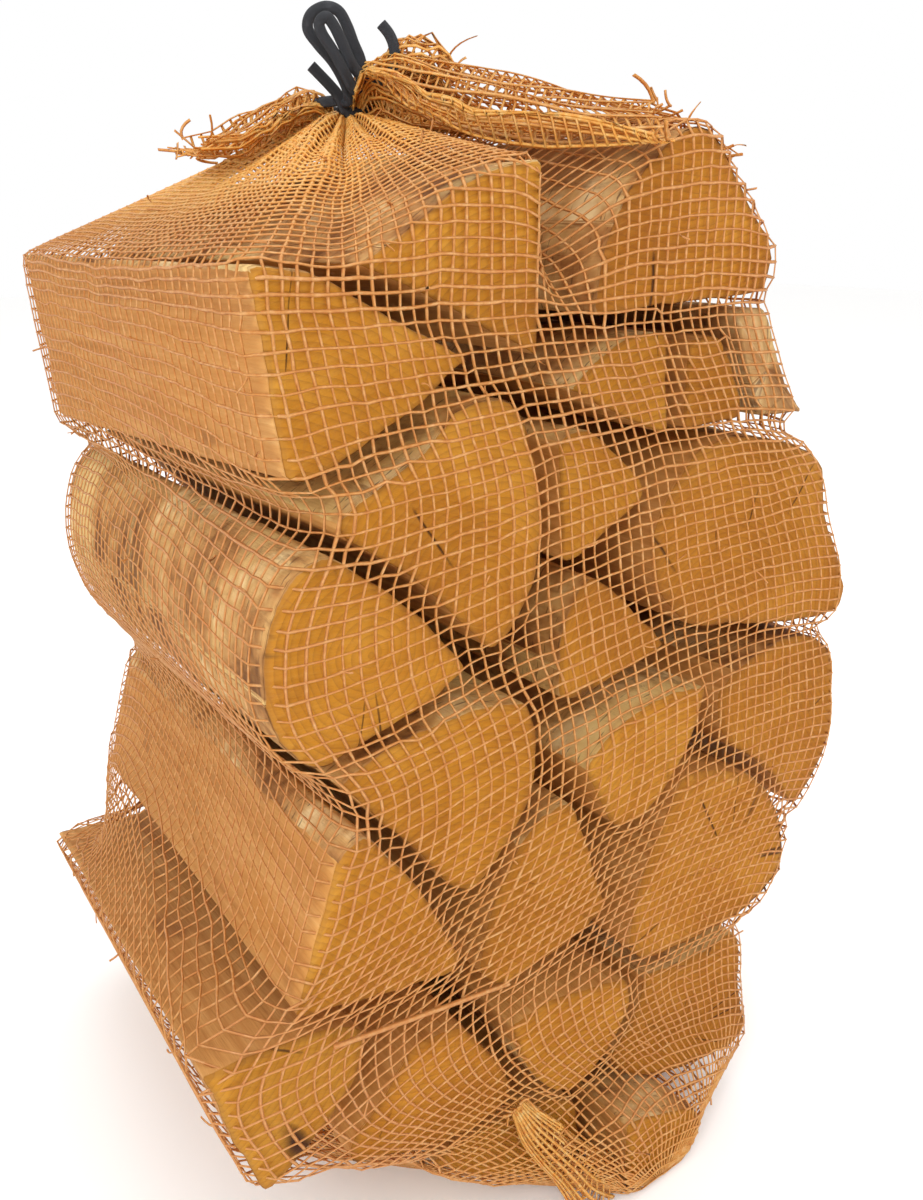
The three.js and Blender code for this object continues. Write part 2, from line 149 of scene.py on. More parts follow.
# ---- Materials ----
class Nodes:
    """Short hand for building a node tree."""

    def __init__(self, name):
        self.material = bpy.data.materials.new(name)
        self.material.use_nodes = True
        self.tree = self.material.node_tree
        self.bsdf = self.tree.nodes["Principled BSDF"]
        self.output = self.tree.nodes["Material Output"]

    def link(self, source, target):
        if isinstance(source, (int, float, tuple)):
            target.default_value = source
        else:
            self.tree.links.new(source, target)

    def attribute(self, name, output="Fac"):
        node = self.tree.nodes.new("ShaderNodeAttribute")
        node.attribute_name = name
        return node.outputs[output]

    def math(self, op, a, b=0.0, clamp=False):
        node = self.tree.nodes.new("ShaderNodeMath")
        node.operation = op
        node.use_clamp = clamp
        self.link(a, node.inputs[0])
        self.link(b, node.inputs[1])
        return node.outputs[0]

    def scaled(self, vector, scale):
        node = self.tree.nodes.new("ShaderNodeVectorMath")
        node.operation = "MULTIPLY"
        self.link(vector, node.inputs[0])
        node.inputs[1].default_value = scale
        return node.outputs[0]

    def shifted(self, vector, other):
        node = self.tree.nodes.new("ShaderNodeVectorMath")
        node.operation = "ADD"
        self.link(vector, node.inputs[0])
        self.link(other, node.inputs[1])
        return node.outputs[0]

    def noise(self, vector, scale, detail=3.0, rough=0.55, distortion=0.0):
        node = self.tree.nodes.new("ShaderNodeTexNoise")
        self.link(vector, node.inputs["Vector"])
        node.inputs["Scale"].default_value = scale
        node.inputs["Detail"].default_value = detail
        node.inputs["Roughness"].default_value = rough
        node.inputs["Distortion"].default_value = distortion
        return node.outputs["Fac"]

    def ramp(self, fac, stops):
        node = self.tree.nodes.new("ShaderNodeValToRGB")
        self.link(fac, node.inputs[0])
        ramp = node.color_ramp
        while len(ramp.elements) < len(stops):
            ramp.elements.new(0.5)
        for element, (at, color) in zip(ramp.elements, stops):
            element.position = at
            element.color = color
        return node.outputs["Color"]

    def band(self, fac, low, high):
        """0 below low, 1 above high."""
        node = self.tree.nodes.new("ShaderNodeMapRange")
        self.link(fac, node.inputs["Value"])
        node.inputs["From Min"].default_value = low
        node.inputs["From Max"].default_value = high
        return node.outputs["Result"]

    def mix(self, fac, a, b, blend="MIX"):
        node = self.tree.nodes.new("ShaderNodeMix")
        node.data_type = "RGBA"
        node.blend_type = blend
        self.link(fac, node.inputs[0])
        self.link(a, node.inputs[6])
        self.link(b, node.inputs[7])
        return node.outputs[2]

    def stain(self, colour, fac, low, high, strength, over):
        """The colour, covered up to strength by another where fac runs from low to high."""
        return self.mix(self.math("MULTIPLY", self.band(fac, low, high), strength), colour, over)

    def combined(self, x, y):
        node = self.tree.nodes.new("ShaderNodeCombineXYZ")
        self.link(x, node.inputs[0])
        self.link(y, node.inputs[1])
        return node.outputs[0]

    def bump(self, height, distance, strength=1.0):
        node = self.tree.nodes.new("ShaderNodeBump")
        self.link(height, node.inputs["Height"])
        node.inputs["Distance"].default_value = distance
        node.inputs["Strength"].default_value = strength
        return node.outputs[0]


def rgb(r, g, b):
    """Linear colour from 0 to 255 display values."""
    return tuple((c / 255 / 12.92) if c / 255 <= 0.04045 else ((c / 255 + 0.055) / 1.055) ** 2.4
                 for c in (r, g, b)) + (1.0,)


RING_WIDTH = 0.0024
RING_WANDER = 0.006


class Grain:
    """Rings and fibres of one log, which its split faces and sawn ends share, in metres from the pith."""

    def __init__(self, n, seed):
        from_pith = n.attribute("grain", "Vector")
        self.place = n.shifted(from_pith, (seed * 0.37, seed * 0.61, seed * 0.83))
        split = n.tree.nodes.new("ShaderNodeSeparateXYZ")
        n.link(from_pith, split.inputs[0])
        across, up = split.outputs[0], split.outputs[1]
        square = n.math("ADD", n.math("MULTIPLY", across, across), n.math("MULTIPLY", up, up))
        self.warp = n.noise(n.scaled(self.place, (30, 30, 4)), 1.0, 2.0)
        self.radius = n.math("ADD", n.math("SQRT", square), n.math("MULTIPLY", self.warp, RING_WANDER))
        self.angle = n.math("ARCTAN2", up, across)
        ring = n.math("FRACT", n.math("MULTIPLY", self.radius, 1 / RING_WIDTH))
        self.ring = n.math("POWER", ring, 3.0)
        self.fibre = n.noise(n.scaled(self.place, (900, 900, 16)), 1.0, 4.0, 0.65)
        self.streak = n.noise(n.scaled(self.place, (240, 240, 5)), 1.0, 3.0, 0.6)
        self.cloud = n.noise(n.scaled(self.place, (22, 22, 7)), 1.0, 3.0, 0.6)


def split_face(n, g):
    """Tan wood with long pale and dark streaks, and a few knots."""
    face = n.ramp(g.streak, [(0.28, rgb(180, 124, 64)), (0.5, rgb(208, 154, 88)),
                             (0.72, rgb(226, 178, 112))])
    face = n.stain(face, g.fibre, 0.35, 0.75, 0.5, rgb(192, 134, 72))
    face = n.stain(face, g.cloud, 0.5, 0.72, 0.7, rgb(208, 146, 72))
    knots = n.noise(n.scaled(g.place, (60, 60, 26)), 1.0, 1.0)
    return n.stain(face, knots, 0.68, 0.78, 0.5, rgb(132, 82, 44))


def drying_cracks(n, g, seed):
    """Straight cracks that run out from near the pith: 1 in a crack, 0 elsewhere."""
    turned = n.math("ADD", n.math("MULTIPLY", g.angle, 2.2), n.math("MULTIPLY", g.warp, 0.25))
    crack = n.noise(n.combined(turned, seed * 3.7), 1.0, 0.0, 0.5)
    crack = n.math("ABSOLUTE", n.math("SUBTRACT", crack, 0.5))
    crack = n.math("SUBTRACT", 1.0, n.band(n.math("MULTIPLY", crack, g.radius), 0.0, 0.0006))
    crack = n.math("MULTIPLY", crack, n.band(n.noise(g.place, 30.0, 1.0), 0.56, 0.66))
    return n.math("MULTIPLY", crack, n.band(g.radius, 0.012, 0.026))


def saw_marks(n, g, saw_angle):
    turned = n.tree.nodes.new("ShaderNodeMapping")
    turned.inputs["Rotation"].default_value = (0, 0, saw_angle)
    n.link(g.place, turned.inputs["Vector"])
    return n.noise(n.scaled(turned.outputs[0], (60, 900, 0)), 1.0, 2.0, 0.7)


def sawn_end(n, g, saw, crack):
    """Golden wood with rings, rays from the pith, saw marks, pores and cracks."""
    end = n.ramp(g.cloud, [(0.3, rgb(174, 112, 26)), (0.5, rgb(192, 130, 32)), (0.7, rgb(208, 150, 50))])
    end = n.mix(n.math("MULTIPLY", g.ring, 0.34), end, rgb(132, 80, 32))
    ray_at = n.combined(n.math("MULTIPLY", g.angle, 26.0), n.math("MULTIPLY", g.radius, 40.0))
    end = n.stain(end, n.noise(ray_at, 1.0, 3.0, 0.6), 0.56, 0.74, 0.35, rgb(160, 104, 50))
    end = n.stain(end, saw, 0.45, 0.8, 0.22, rgb(222, 170, 84))
    end = n.stain(end, n.noise(g.place, 1600.0, 2.0, 0.7), 0.55, 0.8, 0.25, rgb(140, 88, 40))
    return n.mix(crack, end, rgb(74, 42, 22))


def bark_colour(n, seed):
    """Tan and cream birch bark with peeled patches, cross-grain dashes and rough dark places."""
    place = n.shifted(n.attribute("skin", "Vector"), (seed * 0.13, seed * 0.29, 0))
    cloud = n.noise(n.scaled(place, (26, 26, 1)), 1.0, 4.0, 0.62)
    bark = n.ramp(cloud, [(0.38, rgb(122, 80, 42)), (0.46, rgb(182, 132, 78)),
                          (0.55, rgb(212, 172, 112)), (0.66, rgb(246, 226, 176))])
    peeled = n.noise(n.scaled(place, (9, 16, 1)), 1.0, 2.0, 0.5)
    bark = n.stain(bark, peeled, 0.54, 0.6, 0.75, rgb(240, 214, 148))
    papery = n.noise(n.scaled(place, (14, 190, 1)), 1.0, 3.0, 0.6)
    bark = n.stain(bark, papery, 0.5, 0.75, 0.4, rgb(190, 140, 82))
    dashes = n.noise(n.scaled(place, (120, 640, 1)), 1.0, 1.5, 0.5)
    bark = n.stain(bark, dashes, 0.63, 0.7, 0.7, rgb(100, 64, 38))
    rough = n.noise(n.scaled(place, (70, 30, 1)), 1.0, 5.0, 0.7, 1.2)
    return n.stain(bark, rough, 0.53, 0.66, 0.6, rgb(126, 82, 46))


def bark_edge(n, g):
    """The bark attribute, with a torn edge."""
    torn = n.math("SUBTRACT", n.band(n.noise(g.place, 260.0, 3.0), 0.3, 0.7), 0.5)
    return n.band(n.math("ADD", n.attribute("bark"), n.math("MULTIPLY", torn, 0.3)), 0.45, 0.55)


def wood_material(name, tone, seed, saw_angle):
    """Split birch: ringed sawn ends, long-grained split faces and pale bark, told apart by attributes."""
    n = Nodes(name)
    g = Grain(n, seed)
    is_end = n.attribute("sawn")
    crack = drying_cracks(n, g, seed)
    saw = saw_marks(n, g, saw_angle)
    colour = n.mix(is_end, split_face(n, g), sawn_end(n, g, saw, crack))
    colour = n.mix(bark_edge(n, g), colour, bark_colour(n, seed))
    # Painted shade and dirt toward the rim of the sawn ends.
    colour = n.mix(n.math("MULTIPLY", n.attribute("rim"), 0.45), colour, rgb(128, 84, 44))
    n.link(n.mix(1.0, colour, tone, "MULTIPLY"), n.bsdf.inputs["Base Color"])
    n.link(n.math("ADD", 0.62, n.math("MULTIPLY", g.fibre, 0.3)), n.bsdf.inputs["Roughness"])
    n.bsdf.inputs["Specular IOR Level"].default_value = 0.25
    long_grain = n.math("ADD", n.math("MULTIPLY", g.fibre, 0.6), n.math("MULTIPLY", g.streak, 0.8))
    end_grain = n.math("ADD", n.math("MULTIPLY", saw, 0.5), n.math("MULTIPLY", g.ring, 0.25))
    end_grain = n.math("SUBTRACT", end_grain, n.math("MULTIPLY", crack, 2.0))
    side_height = n.math("MULTIPLY", n.math("SUBTRACT", 1.0, is_end), long_grain)
    height = n.math("ADD", side_height, n.math("MULTIPLY", is_end, end_grain))
    n.link(n.bump(height, 0.0009, 0.7), n.bsdf.inputs["Normal"])
    return n.material


def net_material():
    """Plastic thread, tan in the open mesh and golden where gathered, that lets some light through."""
    n = Nodes("orange_net")
    coord = n.tree.nodes.new("ShaderNodeTexCoord").outputs["Object"]
    fine = n.noise(coord, 420.0, 3.0, 0.6)
    wide = n.noise(coord, 14.0, 2.0, 0.5)
    dense = n.attribute("dense")
    colour = n.ramp(fine, [(0.25, rgb(206, 134, 66)), (0.5, rgb(222, 158, 86)), (0.78, rgb(241, 196, 134))])
    colour = n.mix(n.math("MULTIPLY", n.band(wide, 0.45, 0.7), 0.4), colour, rgb(222, 158, 104))
    gathered = n.ramp(fine, [(0.25, rgb(238, 156, 62)), (0.5, rgb(247, 188, 92)),
                             (0.78, rgb(253, 220, 148))])
    colour = n.mix(dense, colour, gathered)
    n.link(colour, n.bsdf.inputs["Base Color"])
    n.bsdf.inputs["Roughness"].default_value = 0.42
    n.bsdf.inputs["Specular IOR Level"].default_value = 0.45
    n.link(n.bump(fine, 0.0002, 0.5), n.bsdf.inputs["Normal"])
    clear = n.tree.nodes.new("ShaderNodeBsdfTranslucent")
    n.link(colour, clear.inputs["Color"])
    both = n.tree.nodes.new("ShaderNodeMixShader")
    both.inputs[0].default_value = 0.34
    n.tree.links.new(n.bsdf.outputs[0], both.inputs[1])
    n.tree.links.new(clear.outputs[0], both.inputs[2])
    n.tree.links.new(both.outputs[0], n.output.inputs["Surface"])
    return n.material


def cord_material():
    """Matt black braid with a fine herringbone."""
    n = Nodes("black_cord")
    along = n.attribute("along", "Vector")
    wave = n.tree.nodes.new("ShaderNodeTexWave")
    wave.bands_direction = "DIAGONAL"
    wave.inputs["Scale"].default_value = 1.0
    wave.inputs["Distortion"].default_value = 0.6
    n.link(n.scaled(along, (9, 2.2, 0)), wave.inputs["Vector"])
    braid = wave.outputs["Fac"]
    colour = n.ramp(braid, [(0.1, rgb(24, 26, 30)), (0.6, rgb(40, 42, 48)), (1.0, rgb(62, 64, 70))])
    n.link(colour, n.bsdf.inputs["Base Color"])
    n.bsdf.inputs["Roughness"].default_value = 0.6
    n.link(n.bump(braid, 0.0003, 0.6), n.bsdf.inputs["Normal"])
    return n.material


NET = net_material()
CORD = cord_material()

# ---- Logs ----
# Bark arc of each log: where it starts and ends on the front outline, in pile millimetres, then
# how red, green and blue the wood is beside the plain tone.
LOG_BARK = {
    "log_top_left": ((-16, 356), (52, 329), (1.0, 0.98, 0.94)),
    "log_top_middle": ((14, 354), (77, 382), (1.02, 1.0, 0.94)),
    "log_top_right": ((95, 337.5), (173, 342), (0.94, 0.86, 0.76)),
    "log_small_wedge": ((88, 317), (131, 333), (1.03, 1.02, 0.98)),
    "log_small_block": ((168, 300), (138, 299), (0.88, 0.8, 0.7)),
    "log_bark_slab": ((177, 300), (166, 323), (1.0, 1.0, 1.0)),
    "log_centre_round": ((6, 290), (72, 308), (1.0, 0.96, 0.82)),
    "log_centre_sliver": ((86, 304), (124, 286), (1.0, 0.96, 0.84)),
    "log_right_big": ((163, 297), (240, 216), (0.93, 0.85, 0.76)),
    "log_centre_block": ((88, 215), (99, 256), (0.95, 0.88, 0.74)),
    "log_left_bark": ((0, 218), (12, 276), (1.0, 0.97, 0.88)),
    "log_middle_left": ((2, 213), (74, 221), (1.0, 0.96, 0.82)),
    "log_leaf_wedge": ((97, 189), (160, 204), (1.0, 0.96, 0.84)),
    "log_right_middle": ((180, 206), (226, 129), (0.92, 0.84, 0.74)),
    "log_right_low": ((188, 160), (188, 90), (0.97, 0.9, 0.78)),
    "log_middle_low": ((72, 170), (98, 172), (0.96, 0.9, 0.76)),
    "log_left_split": ((2, 191), (48, 135), (1.0, 0.96, 0.9)),
    "log_left_skewed": ((8, 108), (-28, 80), (0.9, 0.88, 0.86)),
    "log_low_left": ((66, 59), (2, 73), (0.98, 0.9, 0.8)),
    "log_low_round": ((129, 80), (70, 85), (1.02, 0.98, 0.84)),
    "log_low_right": ((136, 86), (207, 27), (0.94, 0.86, 0.76)),
    "log_base_slab": ((113, 38), (156, 22), (1.0, 0.97, 0.88)),
    "log_base_round": ((96, 6), (34, 52), (1.0, 0.96, 0.86)),
    "log_base_hidden": ((2, 40), (84, 6), (1.0, 0.96, 0.9)),
}
ALL_BARK = {"log_bark_slab"}
AROUND_STEP = 2.4
ALONG_STEP = 4.6
FRONT_RINGS = 11
BACK_RINGS = 6
EDGE_BREAK = 1.2
# How far out of square a sawn end may be, as a slope.
END_TILT = 0.012
# The least and greatest distance of the pith from the middle of the bark.
PITH_NEAR = 34.0
PITH_FAR = 78.0


def cad_points(node):
    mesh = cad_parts[node].data
    co = np.empty(len(mesh.vertices) * 3)
    mesh.vertices.foreach_get("co", co)
    return co.reshape(-1, 3) / MM


def ring_points(points, y):
    """Outline corners [x, z] of a log at depth y, sorted round their middle."""
    near = points[np.abs(points[:, 1] - y) < 0.3][:, [0, 2]]
    near = np.unique(np.round(near, 2), axis=0)
    middle = near.mean(axis=0)
    order = np.argsort(np.arctan2(near[:, 1] - middle[1], near[:, 0] - middle[0]))
    return near[order]


def pair_rings(front, back):
    """The back ring, turned so that its corners answer the front ring's."""
    if len(front) != len(back):
        raise ValueError("log rings differ")
    a = front - front.mean(axis=0)
    b = back - back.mean(axis=0)
    best = min(range(len(b)), key=lambda k: np.sum((a - np.roll(b, -k, axis=0)) ** 2))
    return np.roll(back, -best, axis=0)


def resample(front, back, count):
    """Evenly spaced points round the front ring and their partners on the back ring."""
    closed = np.vstack([front, front[:1]])
    closed_back = np.vstack([back, back[:1]])
    run = run_along(closed)
    at = np.linspace(0, run[-1], count, endpoint=False)
    return points_at(at, run, closed), points_at(at, run, closed_back), at, run[-1]


def circle_centre(a, b, middle, inside):
    """Likely pith: behind the bark arc, on the wood side."""
    mid = (a + b) / 2
    chord = b - a
    half = np.linalg.norm(chord) / 2
    normal = np.array([-chord[1], chord[0]]) / max(2 * half, 1e-6)
    if np.dot(inside - mid, normal) < 0:
        normal = -normal
    bulge = np.dot(mid - middle, normal)
    radius = half * half / (2 * max(bulge, 1.0)) + max(bulge, 1.0) / 2
    radius = min(max(radius, 0.9 * half, PITH_NEAR), PITH_FAR)
    return middle + normal * radius


def bark_and_pith(name, ring):
    """Which points of a log's front outline are bark, and where its pith is."""
    (ax, az), (bx, bz), _ = LOG_BARK[name]
    start, stop = np.array([ax + PILE_X, az]), np.array([bx + PILE_X, bz])
    first = int(np.argmin(np.linalg.norm(ring - start, axis=1)))
    last = int(np.argmin(np.linalg.norm(ring - stop, axis=1)))
    # The outline runs anticlockwise, and so the arc runs clockwise from start to stop.
    length = (first - last) % len(ring)
    bark = ((np.arange(len(ring)) - last) % len(ring) <= length).astype(float)
    if name in ALL_BARK:
        bark[:] = 1
    arc_middle = ring[(last + length // 2) % len(ring)]
    return bark, circle_centre(start, stop, arc_middle, ring.mean(axis=0))


def signed_area(ring):
    """Area inside a ring of points, above zero where it runs anticlockwise."""
    return 0.5 * np.sum(ring[:, 0] * np.roll(ring[:, 1], -1) - np.roll(ring[:, 0], -1) * ring[:, 1])


def surface_cut(at, total, ys, bark, index):
    """Depth of the rough surface under the log's plain shape: long splits in wood, lumps in bark."""
    shape = (len(ys), len(at))
    turn = at / total * 2 * np.pi
    key = np.stack([np.broadcast_to(np.cos(turn) * total / 6.28, shape),
                    np.broadcast_to(np.sin(turn) * total / 6.28, shape),
                    np.broadcast_to(ys, shape)], axis=-1)
    splits = (0.9 * noise(key, (9, 9, 90), index) + 0.7 * noise(key, (4, 4, 38), index + 50)
              + 1.1 * noise(key, (24, 24, 70), index + 90))
    lumps = (0.7 * noise(key, (6, 6, 9), index + 130) + 0.8 * noise(key, (16, 16, 22), index + 170)
             + 0.5 * noise(key, (3, 3, 4), index + 200))
    return splits * (1 - bark[None]) + lumps * bark[None]


class LogMesh:
    """Points, faces and attributes of one log, gathered as they are added."""

    def __init__(self, at, pith, drift):
        self.at, self.pith, self.drift = at, pith, drift
        self.verts, self.faces = [], []
        self.marks = {key: [] for key in ("grain", "skin", "bark", "sawn", "rim")}

    def add_rows(self, grid, y, depth, bark, sawn, rim):
        """Rings of points [x, z] at y, which are a share depth of the way to the log's back."""
        base = sum(len(x) for x in self.verts)
        shape = grid.shape[:2]
        self.verts.append(np.stack([grid[..., 0], y, grid[..., 1]], axis=-1).reshape(-1, 3))
        # Place in the log's own cross-section, from its pith, straightened along the log.
        from_pith = (grid - self.drift * depth[..., None] - self.pith) * MM
        along = (y * MM)[..., None]
        around = np.broadcast_to(self.at[None] * MM, shape)[..., None]
        self.marks["grain"].append(np.concatenate([from_pith, along], axis=-1).reshape(-1, 3))
        self.marks["skin"].append(np.concatenate([around, along, 0 * along], axis=-1).reshape(-1, 3))
        for key, values in (("bark", bark), ("sawn", sawn), ("rim", rim)):
            self.marks[key].append(np.broadcast_to(values, shape).ravel())
        self.faces.append(base + tube_quads(*shape))

    def add_end(self, outline, y_edge, facing, rings, depth, bark, inner_bark, tilt, index):
        """Sawn end: rings from its broken edge in to the middle, a little rough and out of square."""
        middle = outline.mean(axis=0)
        share = np.concatenate([[0.0, 0.03], np.linspace(0.1, 1.0, rings)])[:, None]
        grid = outline[None] + (middle - outline)[None] * share[..., None]
        flat = np.concatenate([grid, np.zeros(grid.shape[:2] + (1,))], axis=-1)
        sink = 0.35 * noise(flat, (5, 5, 5), index + 7) + np.where(share < 0.01, EDGE_BREAK, 0.0)
        lean = tilt[0] * (grid[..., 0] - middle[0]) + tilt[1] * (grid[..., 1] - middle[1])
        y = y_edge + facing * (sink + (lean - lean.min()) * 0.8)
        # How near the rim each point lies; the wood material paints shade and dirt there.
        near_rim = np.clip(1 - share / 0.12, 0, 1)
        bark_row = np.where(share < 0.02, bark[None], inner_bark)
        self.add_rows(grid, y, np.full(grid.shape[:2], depth), bark_row, 1.0, near_rim)
        if facing > 0:
            self.faces[-1] = self.faces[-1][:, ::-1]

    def build(self, name, material, flip):
        faces = [block[:, ::-1] for block in self.faces] if flip else self.faces
        obj = mesh_object(name + "_visual", np.concatenate(self.verts), np.concatenate(faces), material,
                          {key: np.concatenate(values) for key, values in self.marks.items()})
        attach(obj, "root")
        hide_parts(name)


def build_log(name, index):
    """Makes one log over its CAD solid, and returns the points of its plain shape."""
    rng = random.Random(SEED + index)
    points = cad_points(name)
    y0, y1 = points[:, 1].min(), points[:, 1].max()
    front = ring_points(points, y0 + EDGE_BREAK)
    back = pair_rings(front, ring_points(points, y1 - EDGE_BREAK))
    perimeter = np.linalg.norm(np.diff(np.vstack([front, front[:1]]), axis=0), axis=1).sum()
    front, back, at, total = resample(front, back, int(perimeter / AROUND_STEP))
    bark, pith = bark_and_pith(name, front)
    area = signed_area(front)

    rows = int((y1 - y0 - 2 * EDGE_BREAK) / ALONG_STEP)
    v = np.linspace(0, 1, rows + 1)[:, None, None]
    section = front[None] * (1 - v) + back[None] * v
    ys = (y0 + EDGE_BREAK) * (1 - v[..., 0]) + (y1 - EDGE_BREAK) * v[..., 0]
    shape = section.shape[:2]
    plain = np.stack([section[..., 0], np.broadcast_to(ys, shape), section[..., 1]], axis=-1).reshape(-1, 3)
    tangent = unit(np.roll(section, -1, axis=1) - np.roll(section, 1, axis=1))
    inward = np.stack([-tangent[..., 1], tangent[..., 0]], axis=-1) * np.sign(area)
    section = section + inward * surface_cut(at, total, ys, bark, index)[..., None]

    log = LogMesh(at, pith, back.mean(axis=0) - front.mean(axis=0))
    depth = np.broadcast_to(v[..., 0], shape)
    log.add_rows(section, np.broadcast_to(ys, shape), depth, bark[None], 0.0, 0.0)
    tilt = (rng.uniform(-END_TILT, END_TILT), rng.uniform(-END_TILT, END_TILT))
    front_bark = 1.0 if name in ALL_BARK else 0.0
    log.add_end(section[0], y0, 1, FRONT_RINGS, 0.0, bark, front_bark, tilt, index)
    log.add_end(section[-1], y1, -1, BACK_RINGS, 1.0, bark, 0.0, tilt, index)
    tone = LOG_BARK[name][2] + (1.0,)
    log.build(name, wood_material(name + "_wood", tone, index + 1.0, rng.uniform(-0.5, 0.5)), area > 0)
    return plain


LOG_NAMES = sorted(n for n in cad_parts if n.startswith("log_"))
# Every point of the logs' plain shapes, before the surface is roughened.
SKIN = np.concatenate([build_log(name, i) for i, name in enumerate(LOG_NAMES)])


# ---- Net ----
COLS = 172
ROW_STEP = 4.0
SIDE_TOP = 340.0
ROOF_ROWS = 40
BASE_ROWS = 28
# Gaps from the logs and the floor to the threads, in millimetres.
NET_GAP = 0.8
FACE_GAP = 1.5
FLOOR_GAP = 0.6
# Warp threads run up the sack and weft threads round it: widths, heights and the usual step of the weft.
WARP_WIDTH = (0.8, 1.25)
WARP_HEIGHT = 0.45
WEFT_WIDTH = (0.7, 1.1)
WEFT_HEIGHT = 0.4
WEFT_LIFT = 0.3
NET_WANDER = 0.9
PLEAT_DEPTH = 6.0
# How golden the net's sides may get where threads crowd, and how much its roof's folds widen the threads.
SIDE_DENSE = 0.35
FOLD_SPREAD = 0.7
LEVEL_STEP = 2.0
LEVEL_REACH = 2.2
LEVELS_TOP = 400


def cad_bvh(names):
    verts, polys = [], []
    for name in names:
        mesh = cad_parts[name].data
        base = len(verts)
        verts += [v.co / MM for v in mesh.vertices]
        polys += [[base + i for i in p.vertices] for p in mesh.polygons]
    return BVHTree.FromPolygons(verts, polys)


PILE = cad_bvh(LOG_NAMES)


def hull2d(points):
    """Corners of the convex outline of plan points, anticlockwise."""
    pts = sorted(set(map(tuple, np.round(points, 1))))

    def half(seq):
        out = []
        for p in seq:
            while len(out) > 1 and ((out[-1][0] - out[-2][0]) * (p[1] - out[-2][1])
                                    - (out[-1][1] - out[-2][1]) * (p[0] - out[-2][0])) <= 0:
                out.pop()
            out.append(p)
        return out[:-1]
    return np.array(half(pts) + half(pts[::-1]))


def level_planes():
    """For each level, the outward normals and offsets of the sides of the pile's plan outline."""
    planes = []
    for k in range(int(LEVELS_TOP / LEVEL_STEP)):
        near = SKIN[np.abs(SKIN[:, 2] - k * LEVEL_STEP) < LEVEL_REACH][:, :2]
        if len(near) < 3:
            planes.append(None)
            continue
        corners = hull2d(near)
        side = np.roll(corners, -1, axis=0) - corners
        out = unit(np.stack([side[:, 1], -side[:, 0]], axis=1))
        planes.append((out, np.sum(out * corners, axis=1)))
    return planes


PLANES = level_planes()


def side_counts(cols):
    """How many of the columns stand on each side of the pile, from the front round to the left."""
    wide = round(cols * 0.27)
    deep = cols // 2 - wide
    return [wide, deep, wide, cols - 2 * wide - deep]


def ring_of(points, cols, grow):
    """Ring of cols points round the hull of plan points, corner to corner."""
    outline = hull2d(points)
    pick = [int(np.argmax(outline @ np.array(d))) for d in ((-1, -1), (1, -1), (1, 1), (-1, 1))]
    ring = []
    for s, n in enumerate(side_counts(cols)):
        a, b = pick[s], pick[(s + 1) % 4]
        chain = outline[[(a + k) % len(outline) for k in range((b - a) % len(outline) + 1)]]
        run = run_along(chain)
        ring.append(points_at(np.arange(n) / n * run[-1], run, chain))
    ring = np.concatenate(ring)
    tangent = unit(np.roll(ring, -1, axis=0) - np.roll(ring, 1, axis=0))
    return ring + np.stack([tangent[:, 1], -tangent[:, 0]], axis=1) * grow


def neck_ring(cols, radius):
    angles = (np.arange(cols) / cols * 2 + 1.25) * np.pi
    return NECK[None] + radius * np.stack([np.cos(angles), np.sin(angles)], axis=1)


def hold_level(p, gap, cling):
    """Keeps points outside the pile's plan outline at their level, and draws them in to it."""
    flat = p.reshape(-1, 3)
    level = np.clip(np.round(flat[:, 2] / LEVEL_STEP).astype(int), 0, len(PLANES) - 1)
    for k in np.unique(level):
        if PLANES[k] is None or k * LEVEL_STEP > SIDE_TOP + 1:
            continue
        out, offset = PLANES[k]
        here = np.nonzero(level == k)[0]
        away = flat[here, :2] @ out.T - offset
        side = np.argmax(away, axis=1)
        far = away[np.arange(len(here)), side]
        move = np.maximum(gap - far, 0) - np.maximum(far - gap, 0) * cling
        flat[here, :2] += out[side] * move[:, None]
    return flat.reshape(p.shape)


def clear_logs(p, gap):
    """Moves points that are in or too near a log out to gap from it."""
    flat = p.reshape(-1, 3)
    for i, point in enumerate(flat):
        loc, normal, _, dist = PILE.find_nearest(point, 30.0)
        if loc is None:
            continue
        away = point - np.array(loc)
        if away @ np.array(normal) < 0 or dist < 1e-3:
            flat[i] = np.array(loc) + np.array(normal) * gap
        elif dist < gap:
            flat[i] = np.array(loc) + away / dist * gap
    return flat.reshape(p.shape)


def side_net():
    """Rows at even heights, each stretched round the pile, spanning a little over the hollows."""
    heights = np.linspace(3, SIDE_TOP, int(SIDE_TOP / ROW_STEP))
    rings = []
    for z in heights:
        near = SKIN[np.abs(SKIN[:, 2] - z) < 5][:, :2]
        rings.append(np.column_stack([ring_of(near, COLS, 1.0), np.full(COLS, z)]))
    p = np.array(rings)
    for _ in range(60):
        across = (np.roll(p, 1, axis=1) + np.roll(p, -1, axis=1)) / 2
        over = across.copy()
        over[1:-1] = (p[:-2] + p[2:]) / 2
        moved = p + 0.6 * ((across + over) / 2 - p)
        moved[..., 2] = p[..., 2]
        p = hold_level(moved, NET_GAP, 0.12)
    return even_rows(even_rows(p))


def even_rows(p):
    """Shares each column's rows out along its own length, easing the change from column to column."""
    rows, cols = p.shape[:2]
    step = np.linalg.norm(np.diff(p, axis=0), axis=2)
    run = np.concatenate([np.zeros((1, cols)), np.cumsum(step, axis=0)])
    where = np.stack([np.interp(np.linspace(0, run[-1, c], rows), run[:, c], np.arange(rows))
                      for c in range(cols)], axis=1)
    for _ in range(16):
        where = (np.roll(where, 1, axis=1) + np.roll(where, -1, axis=1) + 2 * where) / 4
    out = np.empty_like(p)
    for c in range(cols):
        for k in range(3):
            out[:, c, k] = np.interp(where[:, c], np.arange(rows), p[:, c, k])
    return out


